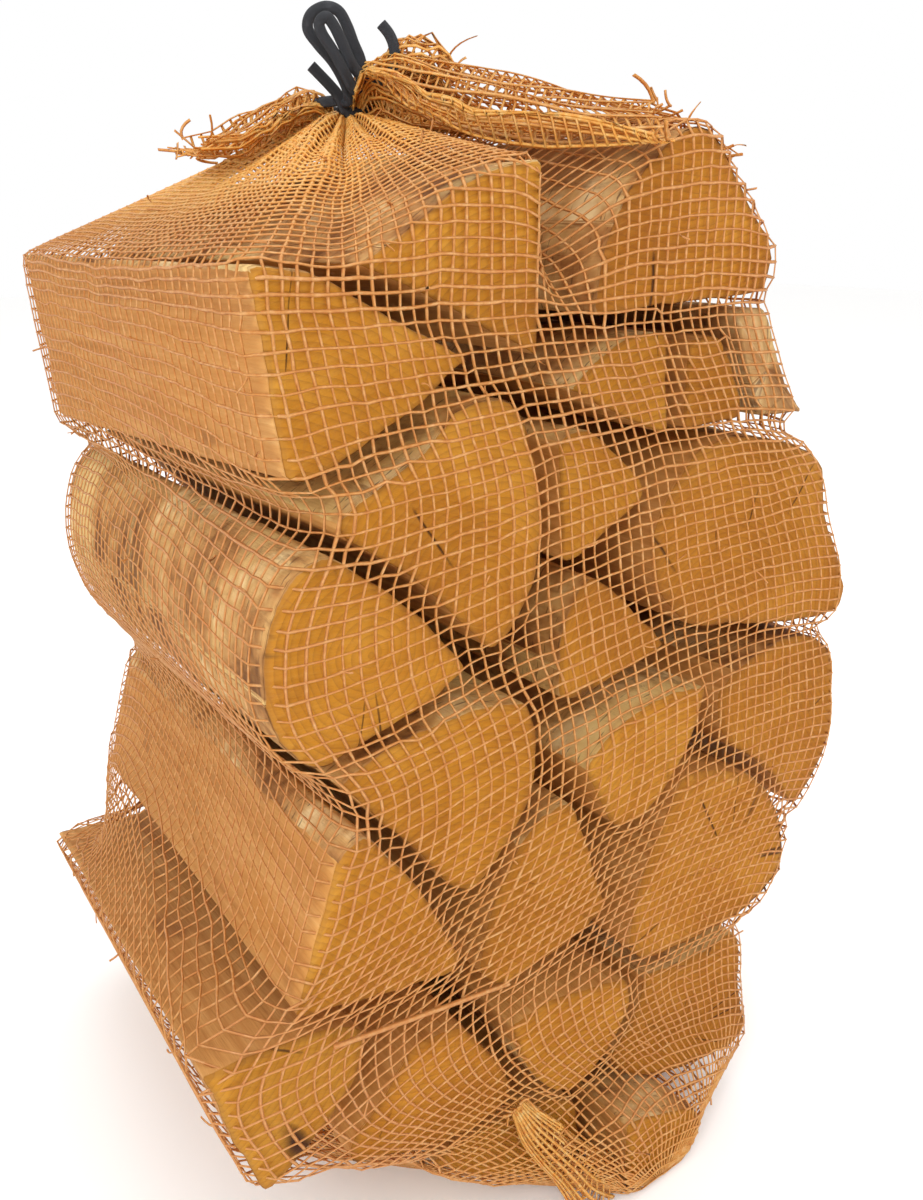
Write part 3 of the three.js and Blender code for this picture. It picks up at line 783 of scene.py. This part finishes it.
def over_top(start, end):
    """Taut line from start over the logs to end, as ROOF_ROWS even points."""
    ahead = (end - start)[:2]
    length = np.linalg.norm(ahead)
    ahead = ahead / length
    rel = SKIN[:, :2] - start[:2]
    along = rel @ ahead
    beside = rel @ np.array([-ahead[1], ahead[0]])
    pick = (np.abs(beside) < 3) & (along > -8) & (along < length) & (SKIN[:, 2] > start[2] + 1)
    points = np.column_stack([along[pick] - NET_GAP, SKIN[pick, 2] + NET_GAP])
    ends = np.array([[0, start[2]], [length, end[2]]])
    ring = hull2d(np.vstack([points, ends]))
    first = int(np.argmin(np.sum((ring - ends[0]) ** 2, axis=1)))
    last = int(np.argmin(np.sum((ring - ends[1]) ** 2, axis=1)))
    chain = ring[[(last + k) % len(ring) for k in range((first - last) % len(ring) + 1)]][::-1]
    run = run_along(chain)
    d, z = points_at(np.linspace(0, run[-1], ROOF_ROWS + 1)[1:], run, chain).T
    return np.column_stack([start[0] + ahead[0] * d, start[1] + ahead[1] * d, z])


def wrapped_net():
    side = side_net()
    neck = np.column_stack([neck_ring(COLS, NECK_RADIUS), np.full(COLS, NECK_Z - 3)])
    roof = np.stack([over_top(side[-1, c], neck[c]) for c in range(COLS)], axis=1)
    for _ in range(5):
        above = np.concatenate([side[-1:], roof[:-1]])
        below = np.concatenate([roof[1:], roof[-1:]])
        mean = (np.roll(roof, 1, axis=1) + np.roll(roof, -1, axis=1) + above + below) / 4
        mean[-1] = roof[-1]
        roof = clear_logs(roof + 0.6 * (mean - roof), NET_GAP)
    first = side[0].copy()
    first[:, 2] = 0.7
    seam = first.copy()
    seam[:, 0] = np.clip(first[:, 0], first[:, 0].min() + 35, first[:, 0].max() - 35)
    seam[:, 1] = 0.02 * first[:, 1]
    t = np.linspace(0, 1, BASE_ROWS + 1)[:-1, None, None]
    base = seam[None] * (1 - t) + first[None] * t
    return np.concatenate([base, side, roof])


def grid_normals(p):
    du = np.roll(p, -1, axis=1) - np.roll(p, 1, axis=1)
    dv = np.empty_like(p)
    dv[1:-1] = p[2:] - p[:-2]
    dv[0], dv[-1] = p[1] - p[0], p[-1] - p[-2]
    return unit(np.cross(du, dv))


def jitter(p, amount, seed):
    """Small wander of the threads within the net's surface."""
    n = grid_normals(p)
    push = np.stack([noise(p, 14, seed + k) - 0.5 for k in range(3)], axis=-1) * 2 * amount
    push += np.stack([noise(p, 5, seed + 10 + k) - 0.5 for k in range(3)], axis=-1) * amount
    push -= n * np.sum(push * n, axis=-1, keepdims=True)
    return p + push


def thread_mesh(lines, normals, width, height, closed, dense):
    """Three-sided threads along lines (lines, points, 3): their vertices, faces and dense values."""
    count, length = lines.shape[:2]
    if closed:
        ahead = np.roll(lines, -1, axis=1) - np.roll(lines, 1, axis=1)
    else:
        ahead = np.empty_like(lines)
        ahead[:, 1:-1] = lines[:, 2:] - lines[:, :-2]
        ahead[:, 0], ahead[:, -1] = lines[:, 1] - lines[:, 0], lines[:, -1] - lines[:, -2]
    ahead = unit(ahead)
    side = unit(np.cross(normals, ahead))
    width = np.broadcast_to(width, lines.shape[:2])[..., None]
    half = side * width / 2
    verts = np.stack([lines - half, lines + half, lines + normals * height], axis=2).reshape(-1, 3)
    ids = np.arange(count * length).reshape(count, length) * 3
    a = ids if closed else ids[:, :-1]
    b = np.roll(ids, -1, axis=1) if closed else ids[:, 1:]
    quads = []
    for k in range(3):
        m = (k + 1) % 3
        quads.append(np.stack([a + k, b + k, b + m, a + m], axis=-1).reshape(-1, 4))
    return verts, np.concatenate(quads), np.repeat(dense.reshape(-1), 3)


def denseness(p):
    """How crowded the threads are: 0 in the open mesh, 1 where the net is gathered."""
    gap = np.linalg.norm(np.roll(p, -1, axis=1) - p, axis=2)
    return 1 - smooth_step(gap, 1.4, 4.2)


class NetPiece:
    """Threads gathered into one object."""

    def __init__(self, name):
        self.name, self.count = name, 0
        self.verts, self.quads, self.shade = [], [], []

    def add(self, lines, normals, width, height, closed, dense):
        verts, quads, shade = thread_mesh(lines, normals, width, height, closed, dense)
        self.verts.append(verts)
        self.quads.append(quads + self.count)
        self.shade.append(shade)
        self.count += len(verts)

    def grid(self, p, dense, warp=1.15, weft=0.95, height=0.45):
        """Threads both ways along a grid that closes on itself sideways."""
        n = grid_normals(p)
        self.add(p.transpose(1, 0, 2), n.transpose(1, 0, 2), warp, height, False, dense.T)
        self.add(p[1:-1] + n[1:-1] * 0.3, n[1:-1], weft, height, True, dense[1:-1])

    def build(self):
        verts = np.concatenate(self.verts)
        verts[:, 2] = np.maximum(verts[:, 2], 0.2)
        obj = mesh_object(self.name, verts, np.concatenate(self.quads), NET,
                          {"dense": np.concatenate(self.shade)})
        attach(obj, "root")
        return obj


def thread_widths(shape, seed, low, high):
    """Width of each thread, along its length."""
    rng = np.random.default_rng(seed)
    own = rng.uniform(low, high, (shape[0], 1))
    return own * (0.85 + 0.3 * rng.random(shape))


def pleated(p):
    """Pleats toward the neck, deepest just below the band."""
    rows, cols = p.shape[:2]
    way_up = np.arange(rows) / rows
    rise = smooth_step(way_up, 0.84, 0.97) * (1 - 0.6 * smooth_step(way_up, 0.97, 1))
    angle = np.arange(cols) / cols * 2 * np.pi
    ring = np.stack([np.cos(angle) * 9, np.sin(angle) * 9, 0 * angle], axis=1)
    depth = noise(ring, 1.0, 31) + 0.5 * noise(ring, 0.4, 32) - 0.7
    return p + grid_normals(p) * (rise[:, None] * depth[None] * PLEAT_DEPTH)[..., None]


net = jitter(pleated(wrapped_net()), NET_WANDER, 5)
net[BASE_ROWS:-ROOF_ROWS] = clear_logs(net[BASE_ROWS:-ROOF_ROWS], FACE_GAP)
net[..., 2] = np.maximum(net[..., 2], FLOOR_GAP)
normals = grid_normals(net)
dense = denseness(net)
dense[:-ROOF_ROWS] *= SIDE_DENSE
# The roof's left side is drawn into thick folds, more so toward the neck.
left_part = smooth_step(-np.cos((np.arange(COLS) / COLS * 2 + 1.25) * np.pi), 0.1, 0.8)
toward_neck = smooth_step(np.arange(ROOF_ROWS) / ROOF_ROWS, 0.15, 0.6)
dense[-ROOF_ROWS:] = np.maximum(dense[-ROOF_ROWS:], toward_neck[:, None] * left_part[None])
spread = 1 + FOLD_SPREAD * dense * left_part[None]

warp_net = NetPiece("net_warp")
warp_widths = thread_widths((COLS, len(net)), 3, *WARP_WIDTH) * spread.T
warp_net.add(net.transpose(1, 0, 2), normals.transpose(1, 0, 2), warp_widths, WARP_HEIGHT, False, dense.T)
warp_net = warp_net.build()
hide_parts("net_sack")
weft_net = NetPiece("net_weft")
weft_widths = thread_widths((len(net) - 2, COLS), 4, *WEFT_WIDTH) * spread[1:-1]
weft_net.add(net[1:-1] + normals[1:-1] * WEFT_LIFT, normals[1:-1], weft_widths, WEFT_HEIGHT, True,
             dense[1:-1])
weft_net = weft_net.build()


# ---- Gathered mouth, tail and loose ends ----
def pile_point(x, y, z):
    return np.array([x + PILE_X, y + PILE_Y, z], float)


def smooth_path(points, count):
    """Even run of count points on a smooth curve through points of any dimension."""
    path = np.array(points, float)
    out = np.empty((count, path.shape[1]))
    for k, u in enumerate(np.linspace(0, len(path) - 1, count)):
        i = min(int(u), len(path) - 2)
        f = u - i
        p0, p1 = path[max(i - 1, 0)], path[i]
        p2, p3 = path[i + 1], path[min(i + 2, len(path) - 1)]
        out[k] = 0.5 * (2 * p1 + (p2 - p0) * f + (2 * p0 - 5 * p1 + 4 * p2 - p3) * f * f
                        + (3 * p1 - p0 - 3 * p2 + p3) * f ** 3)
    return out


def lobe(spine, rows, cols, ruffle, seed, sheet_up=(0, 0, 1)):
    """Flattened, ruffled tube of net along a spine of (x, y, z, half width, half thickness)."""
    run = smooth_path(spine, rows)
    centre, wide, thick = run[:, :3], run[:, 3], run[:, 4]
    ahead = unit(np.gradient(centre, axis=0))
    side = unit(np.cross(ahead, np.array(sheet_up, float)))
    up = unit(np.cross(side, ahead))
    angle = np.arange(cols) / cols * 2 * np.pi
    p = (centre[:, None] + side[:, None] * (wide[:, None] * np.cos(angle))[..., None]
         + up[:, None] * (thick[:, None] * np.sin(angle))[..., None])
    v = np.linspace(0, 1, rows)[:, None]
    fold = np.stack([np.cos(angle)[None] * 2.4 + 0 * v, np.sin(angle)[None] * 2.4 + 0 * v,
                     1.6 * v + 0 * angle[None]], axis=-1)
    grow = smooth_step(v, 0.0, 0.35)
    lift = (noise(fold, 1.0, seed) - 0.5) * 2 + (noise(fold, 0.42, seed + 1) - 0.5)
    along = (noise(fold, 0.7, seed + 2) - 0.5) * 2
    p = p + up[:, None] * (lift * ruffle * grow)[..., None]
    p = p + ahead[:, None] * (along * ruffle * 1.6 * grow)[..., None]
    return p


def top_net():
    rows = net[-ROOF_ROWS - 4:]
    return BVHTree.FromPolygons(rows.reshape(-1, 3).tolist(), tube_quads(*rows.shape[:2]).tolist())


# How far a gathered fold spans from what holds it up: places round a point, and the sag at each.
BRIDGE = [(0, 0, 0)] + [(r * math.cos(a), r * math.sin(a), r * 0.38)
                        for r in (9, 18) for a in np.arange(8) * math.pi / 4]


def drape(p, top, low):
    """Lowers points, given as heights over the net's roof, onto the roof, bridging its valleys."""
    flat = p.reshape(-1, 3)
    for point in flat:
        ground = low
        for dx, dy, drop in BRIDGE:
            hit = top.ray_cast((point[0] + dx, point[1] + dy, 500), (0, 0, -1))[0]
            if hit is not None:
                ground = max(ground, hit.z - drop)
        point[2] = ground + max(point[2], 0.7)
    return flat.reshape(p.shape)


def add_tufts(piece, edge, reach, share, seed):
    """Loose thread ends past a torn edge (cols, 3), each curling its own way."""
    rng = np.random.default_rng(seed)
    middle = edge.mean(axis=0)
    for start in edge[rng.random(len(edge)) < share]:
        away = unit(start - middle + rng.normal(0, 6, 3))
        bend = rng.normal(0, 0.5, 3)
        length = reach * rng.uniform(0.3, 1.0)
        line = np.array([start + away * length * t + bend * length * t * t + (0, 0, length * 0.25 * t)
                         for t in np.linspace(-0.1, 1, 6)])
        facing = np.broadcast_to(unit(rng.normal(0, 1, 3)), line.shape)
        piece.add(line[None], facing[None], rng.uniform(0.8, 1.3), 0.45, False, np.full((1, 6), 0.3))


mouth = NetPiece("net_mouth")
# Each lobe: spine of (x, y, height over the roof, half width, half thickness), rows, columns, ruffle, seed.
MOUTH_LOBES = [
    # Main flop, from the neck toward the front right.
    ([(90, 119, 1, 6, 4), (95, 109, 12, 16, 6), (105, 94, 11, 29, 6), (117, 74, 8, 38, 5),
      (129, 52, 6, 43, 4), (139, 32, 4, 43, 3), (147, 15, 3, 40, 2)], 36, 60, 7.5, 41),
    # Second layer, shorter, to the back right.
    ([(92, 127, 2, 5, 3), (101, 129, 9, 12, 5), (118, 129, 9, 22, 5), (138, 124, 6, 28, 4),
      (152, 118, 4, 26, 2)], 22, 36, 6.0, 51),
    # Small flop to the left.
    ([(83, 127, 2, 5, 3), (74, 129, 5, 9, 4), (62, 133, 5, 15, 3.5), (48, 137, 4, 19, 3),
      (34, 141, 3, 19, 2)], 18, 32, 5.0, 61),
    # Small puff that stands up beside the knot.
    ([(90, 119, 4, 4, 3), (96, 113, 11, 7, 4), (102, 107, 17, 9, 5), (109, 103, 18, 9, 4),
      (114, 101, 13, 7, 3)], 16, 26, 4.5, 81),
]
top_bvh = top_net()
for spine, rows, cols, ruffle, seed in MOUTH_LOBES:
    spine = [tuple(pile_point(x, y, z)) + (w, t) for x, y, z, w, t in spine]
    sheet = drape(lobe(spine, rows, cols, ruffle, seed), top_bvh, 385)
    mouth.grid(sheet, np.clip(denseness(sheet) + 0.5, 0, 1))
    add_tufts(mouth, sheet[-1], 9, 0.5, seed)
mouth_net = mouth.build()

tail = NetPiece("net_tail")
TAIL = [(70, -3, 62, 3, 1.2), (76, -5, 50, 6, 1.6), (84, -7, 38, 8, 2.2), (93, -9, 25, 9, 2.6),
        (102, -11, 12, 12, 2.6), (112, -13, 4, 18, 1.6)]
spine = [tuple(pile_point(x, y, z)) + (w, t) for x, y, z, w, t in TAIL]
sheet = lobe(spine, 18, 22, 2.2, 71, sheet_up=(0, -1, 0.2))
sheet[..., 2] = np.maximum(sheet[..., 2], 0.8)
tail.grid(sheet, np.full(sheet.shape[:2], 0.9))
add_tufts(tail, sheet[0], 9, 0.5, 72)
add_tufts(tail, sheet[-1], 6, 0.8, 73)
tail_net = tail.build()

# Loose thread ends that stand off the net here and there, and one heavy pale thread.
FRAY_COUNT = 260
fray = NetPiece("net_fray")
rng = np.random.default_rng(9)
for _ in range(FRAY_COUNT):
    r, c = rng.integers(BASE_ROWS + 4, len(net) - 4), rng.integers(0, COLS)
    start, n = net[r, c], normals[r, c]
    turn = unit(n * rng.uniform(0.4, 1.2) + rng.normal(0, 0.8, 3))
    length = rng.uniform(2.0, 5.5)
    curl = rng.normal(0, 0.35, 3)
    line = np.array([start + turn * length * t + curl * length * t * t for t in np.linspace(0, 1, 5)])
    fray.add(line[None], np.broadcast_to(unit(rng.normal(0, 1, 3)), line.shape)[None], 0.7, 0.35, False,
             np.full((1, 5), 0.0))
seam = smooth_path([pile_point(-3, -2.2, 126), pile_point(30, -2.4, 121.6),
                    pile_point(66, -2.2, 116.6)], 30)
fray.add(seam[None], np.broadcast_to(np.array([0, -1.0, 0.2]), seam.shape)[None], 2.0, 0.9, False,
         np.full((1, 30), 0.0))
fray_net = fray.build()


# ---- Cord ----
CORD_WIDTH = 3.8
CORD_THICK = 1.7
RIGHT = np.array([0.804, -0.5946, 0.0])
OUT = np.array([-0.5946, -0.804, 0.0])


def by_knot(across, out, up):
    """A point near the knot, in millimetres, across and out from the front of the neck."""
    return np.array([NECK[0], NECK[1], NECK_Z]) + RIGHT * across + OUT * (12 + out) + np.array([0, 0, up])


def round_neck(radius, start, stop, count, rise):
    """Points once round the neck, rising a little, starting at the angle of the knot."""
    front = math.atan2(OUT[1], OUT[0])
    turns = np.linspace(start, stop, count)
    return [np.array([NECK[0] + radius * math.cos(front + a), NECK[1] + radius * math.sin(front + a),
                      NECK_Z + rise * t]) for a, t in zip(turns, np.linspace(-0.5, 0.5, count))]


# The cord's first cut end, coming down to the neck, as (across, out, up) from the front of the neck.
FIRST_END = [(-9.9, 3.0, 12.4), (-6.7, 2.6, 9.3), (-3.4, 2.0, 6.0), (-0.8, 1.2, 2.9)]
# From the neck through the big loop, the small loop and out to the other cut end.
LOOPS_AND_END = [
    (2.4, 2.6, 1.6), (2.0, 4.0, 6.0), (-1.8, 4.8, 13.0), (-7.0, 5.0, 18.8), (-10.2, 5.0, 23.4),
    (-8.9, 5.0, 27.8), (-4.2, 5.0, 30.0), (0.2, 4.8, 28.8), (2.9, 4.4, 24.6), (4.9, 4.0, 19.4),
    (7.2, 3.2, 13.6), (6.9, 2.8, 7.5), (5.0, 6.2, 4.6), (2.2, 8.0, 9.3), (-1.4, 8.8, 15.9),
    (-5.0, 9.0, 21.3), (-5.8, 9.0, 24.6), (-3.4, 9.0, 26.3), (-1.0, 8.6, 23.8), (1.5, 8.0, 18.8),
    (4.0, 7.2, 13.2), (7.0, 5.6, 9.4), (10.4, 3.8, 8.2), (14.0, 2.6, 8.0), (17.4, 2.0, 9.8),
    (18.8, 1.8, 14.2), (18.4, 1.8, 18.9), (16.9, 1.8, 22.4), (14.3, 1.8, 25.4)]
CORD_PATH = ([by_knot(*p) for p in FIRST_END] + round_neck(12.2, 0.12, 6.2, 16, 3.6)
             + [by_knot(*p) for p in LOOPS_AND_END])


def flat_cord(name, path, width, thick):
    """Flat braided cord along a path in millimetres: its object, its centreline and length in metres."""
    line = smooth_path(path, (len(path) - 1) * 7 + 1)
    ahead = unit(np.gradient(line, axis=0))
    side = unit(np.cross(ahead, OUT + (0, 0, 0.15)))
    up = unit(np.cross(side, ahead))
    sides = 10
    run = run_along(line)
    angle = np.arange(sides) / sides * 2 * np.pi
    verts = (line[:, None] + side[:, None] * (np.cos(angle) * width / 2)[None, :, None]
             + up[:, None] * (np.sin(angle) * thick / 2)[None, :, None])
    shape = (len(line), sides)
    along = np.stack([np.broadcast_to(angle[None] * 4, shape), np.broadcast_to(run[:, None], shape),
                      np.zeros(shape)], axis=-1)
    faces = [tube_quads(len(line), sides)]
    for base, flip in ((0, True), ((len(line) - 1) * sides, False)):
        cap = np.array([[base + k, base + k + 1, base + sides - 2 - k, base + sides - 1 - k]
                        for k in range(sides // 2 - 1)])
        faces.append(cap[:, ::-1] if flip else cap)
    obj = mesh_object(name, verts.reshape(-1, 3), np.concatenate(faces), CORD,
                      {"along": along.reshape(-1, 3)})
    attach(obj, "root")
    return obj, line * MM, run[-1] * MM


tie, tie_line, tie_length = flat_cord("tie_string", CORD_PATH, CORD_WIDTH, CORD_THICK)
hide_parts("tie_cord")


# ---- Floor and light ----
def make_stage():
    n = Nodes("floor")
    n.bsdf.inputs["Base Color"].default_value = (0.99, 0.985, 0.975, 1)
    n.bsdf.inputs["Roughness"].default_value = 0.8
    size = 6000
    floor = mesh_object("floor", [[-size, -size, 0], [size, -size, 0], [size, size, 0], [-size, size, 0]],
                        [[0, 1, 2, 3]], n.material, smooth=False)
    world = bpy.data.worlds.new("world")
    bpy.context.scene.world = world
    world.use_nodes = True
    world.node_tree.nodes["Background"].inputs[0].default_value = (1, 1, 1, 1)
    world.node_tree.nodes["Background"].inputs[1].default_value = 1.0


def area_light(name, place, target, size, power, color=(1, 1, 1)):
    data = bpy.data.lights.new(name, "AREA")
    data.shape = "RECTANGLE"
    data.size, data.size_y = size
    data.energy = power
    data.color = color
    lamp = bpy.data.objects.new(name, data)
    bpy.context.scene.collection.objects.link(lamp)
    lamp.location = place
    lamp.rotation_mode = "QUATERNION"
    lamp.rotation_quaternion = (Vector(target) - Vector(place)).to_track_quat("-Z", "Y")


make_stage()
area_light("key", (-1.3, -1.2, 1.5), (0, 0, 0.2), (1.2, 1.2), 21)
area_light("fill", (1.4, -1.4, 0.9), (0, 0, 0.2), (1.6, 1.2), 6)
area_light("top", (0.1, 0.2, 2.0), (0, 0, 0.3), (1.5, 1.5), 10)
